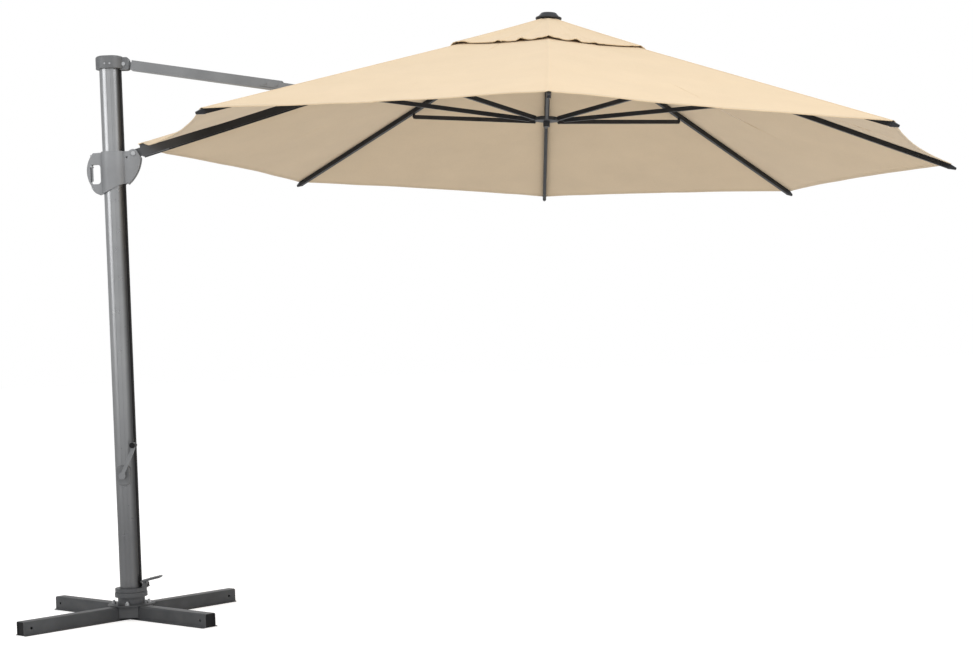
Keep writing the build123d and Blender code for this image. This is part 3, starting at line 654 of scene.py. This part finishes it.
def armStrip():
    half = armCover["stripHalf"]
    wide = armCover["flatHalf"]
    middle = (0.01, 0.02, 0.028, wide - 0.001, wide + 0.001, half)
    columns = [-c / half for c in reversed(middle)] + [0] + [c / half for c in middle]
    inner, outer = canopy["holeRadius"], canopy["radius"]

    def rowOf(reach):
        low, high = inner, outer
        for _ in range(40):
            middle = (low + high) / 2
            if armReach(middle, canopy["rise"] - steep * middle) > reach:
                low = middle
            else:
                high = middle
        return (low - inner) / (outer - inner)

    slitFar, slitNear = rowOf(armCover["slit"][1]), rowOf(armCover["slit"][0])
    rows = spaced(0, slitFar - 0.004, 14) + spaced(slitFar, slitNear, 5)
    rows += spaced(slitNear + 0.004, 0.985, 18) + [0.99, 1.0]

    def skip(rowLow, rowHigh, columnLow, columnHigh):
        middleRow, middleColumn = (rowLow + rowHigh) / 2, (columnLow + columnHigh) / 2
        return slitFar < middleRow < slitNear and abs(middleColumn) * half < 0.0285

    def hem(row, column):
        nearSlit = slitFar - 0.014 < row < slitNear + 0.014
        inHem = nearSlit or row > 0.986
        fromSlit = min(abs(row - slitFar), abs(row - slitNear))
        return float(inHem), inHem, (fromSlit * 1.3 - 0.012, column * half)

    place = stripPlace(180, half, inner, outer, panelHeight, 0.0)
    return clothPiece("arm_cover", 180, rows, columns, place, hem, skip)


for goreName, goreTurn in gores.items():
    makeGore(goreName, goreTurn)
print("canopy made")

nodeFinish = {
    "basePaint": ["base_beam_long", "base_beam_left", "base_beam_right", "base_plate", "base_gussets"],
    "footPaint": ["swivel_post", "mast_foot", "pedal_bracket", "foot_pedal"],
    "mastPaint": ["mast_tube"],
    "strutPaint": ["strut_tube", "strut_fork", "strut_eye"],
    "crankPaint": ["crank_shaft", "crank_arm"],
    "armPaint": ["arm_channel", "arm_root", "arm_head", "arm_bracket", "arm_bush"],
    "ribPaint": [name for name in nodes if name.startswith(("rib_", "brace_"))],
    "zincSteel": ["anchor_bolts", "cap_fixings", "slider_fixings", "arm_pin", "hub_pins"],
    "sliderNylon": ["slider_shell_front", "slider_shell_back", "release_lever"],
    "capNylon": ["top_cap", "crank_housing"],
    "hubNylon": ["upper_hub", "runner", "finial"],
    "blackPlastic": ["base_beam_ends", "mast_strip", "slider_bushes", "crank_knob"],
}
for finishName, members in nodeFinish.items():
    for member in members:
        mesh = nodes[member].data
        mesh.materials.clear()
        mesh.materials.append(materials[finishName])
print("finishes put on")

studio = {
    "floorColour": (0.90, 0.90, 0.90),
    "floorReach": 150,
    "worldColour": (1.0, 1.0, 1.0),
    "worldSweep": (-0.6, 0.6),
    "worldStrength": (0.60, 0.76),
    "backdropStrength": 1.0,
    "floorGlow": 0.42,
    "lights": [
        {
            "name": "keyLight",
            "place": (5.5, -6.0, 6.5),
            "aim": (1.5, 0, 1.8),
            "size": 4.5,
            "power": 310,
        },
        {
            "name": "fillLight",
            "place": (-4.5, -5.0, 4.0),
            "aim": (1.5, 0, 1.5),
            "size": 5.0,
            "power": 130,
        },
        {
            "name": "backLight",
            "place": (1.0, 6.0, 5.5),
            "aim": (1.5, 0, 2.0),
            "size": 5.0,
            "power": 140,
        },
    ],
}


def makeStudio():
    world = bpy.data.worlds.new("studioWorld")
    world.use_nodes = True
    tree = world.node_tree
    background = tree.nodes["Background"]
    background.inputs[0].default_value = (*studio["worldColour"], 1)
    seen = addNode(tree, "ShaderNodeLightPath").outputs["Is Camera Ray"]
    heading = addNode(tree, "ShaderNodeSeparateXYZ")
    direction = addNode(tree, "ShaderNodeTexCoord").outputs["Generated"]
    tree.links.new(direction, heading.inputs[0])
    soft = addRange(tree, heading.outputs[0], *studio["worldSweep"], *studio["worldStrength"])
    strength = addNode(tree, "ShaderNodeMix", data_type="FLOAT")
    tree.links.new(seen, strength.inputs[0])
    tree.links.new(soft, strength.inputs[2])
    strength.inputs[3].default_value = studio["backdropStrength"]
    tree.links.new(strength.outputs[0], background.inputs[1])
    bpy.context.scene.world = world
    for spec in studio["lights"]:
        data = bpy.data.lights.new(spec["name"], "AREA")
        data.shape = "DISK"
        data.size = spec["size"]
        data.energy = spec["power"]
        light = bpy.data.objects.new(spec["name"], data)
        light.location = spec["place"]
        aim = Vector(spec["aim"]) - Vector(spec["place"])
        light.rotation_euler = aim.to_track_quat("-Z", "Y").to_euler()
        bpy.context.scene.collection.objects.link(light)
    mesh = bpy.data.meshes.new("floor")
    reach = studio["floorReach"]
    corners = [(-reach, -reach, 0), (reach, -reach, 0), (reach, reach, 0), (-reach, reach, 0)]
    mesh.from_pydata(corners, [], [(0, 1, 2, 3)])
    material, tree, shader = newMaterial("floorPaint")
    shade = addNoise(tree, objectPlace(tree), 0.6, 2.0)
    lighter = studio["floorColour"]
    tone = addMix(tree, shade, [0.985 * c for c in lighter], lighter)
    tree.links.new(tone, shader.inputs["Base Color"])
    shader.inputs["Roughness"].default_value = 0.9
    shader.inputs["Specular IOR Level"].default_value = 0.1
    shader.inputs["Emission Color"].default_value = (1, 1, 1, 1)
    seen = addNode(tree, "ShaderNodeLightPath").outputs["Is Camera Ray"]
    tree.links.new(addRange(tree, seen, 0, 1, 0, studio["floorGlow"]), shader.inputs["Emission Strength"])
    mesh.materials.append(material)
    floor = bpy.data.objects.new("floor", mesh)
    floor.location.z = -0.0005
    bpy.context.scene.collection.objects.link(floor)


makeStudio()
bpy.context.scene.view_settings.view_transform = "Standard"
print("studio made")
